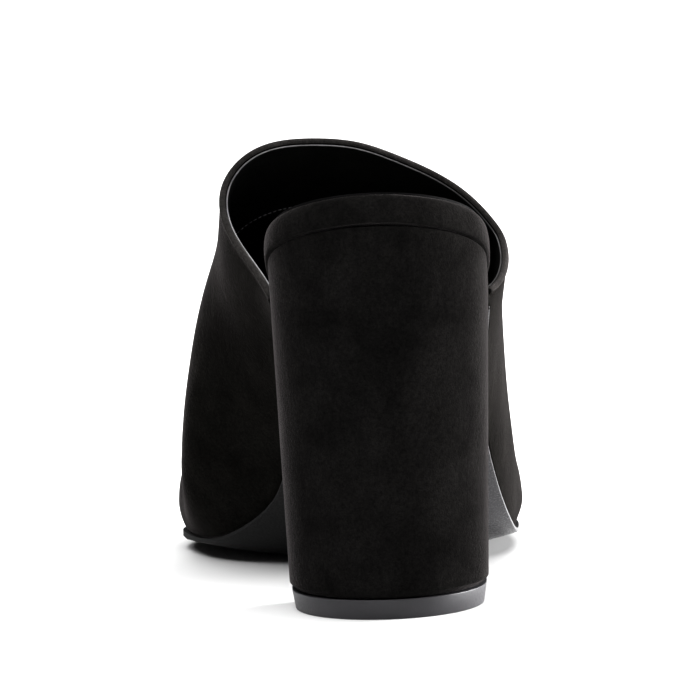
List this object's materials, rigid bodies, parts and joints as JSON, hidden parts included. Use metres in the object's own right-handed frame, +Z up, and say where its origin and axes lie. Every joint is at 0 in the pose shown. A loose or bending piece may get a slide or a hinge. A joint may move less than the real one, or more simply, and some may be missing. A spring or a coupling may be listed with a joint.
{
  "type": "mule shoe",
  "caption": "Right-foot mule with a closed rounded toe, an open back, a wide arched collar, a thick wrapped seat and a high block heel.",
  "frame": {"origin": "middle of the bounding box in plan, on the floor that the sole and the heel stand on", "axes": "+Y from the heel to the toe, +Z up, the inner side of the foot towards -X"},
  "size_m": [0.0914, 0.225, 0.1148],
  "materials": {
    "suede": "napped suede, near black",
    "heel_suede": "napped suede, near black",
    "lining_leather": "smooth black leather",
    "sock_leather": "smooth black leather",
    "sole_rubber": "smooth dark grey",
    "lift_rubber": "smooth dark grey",
    "thread": "matt thread"
  },
  "bodies": {
    "root": {"upper": "suede", "insole": "sock_leather", "outsole": "sole_rubber", "heel": "heel_suede", "top_lift": "lift_rubber"}
  },
  "joints": []
}
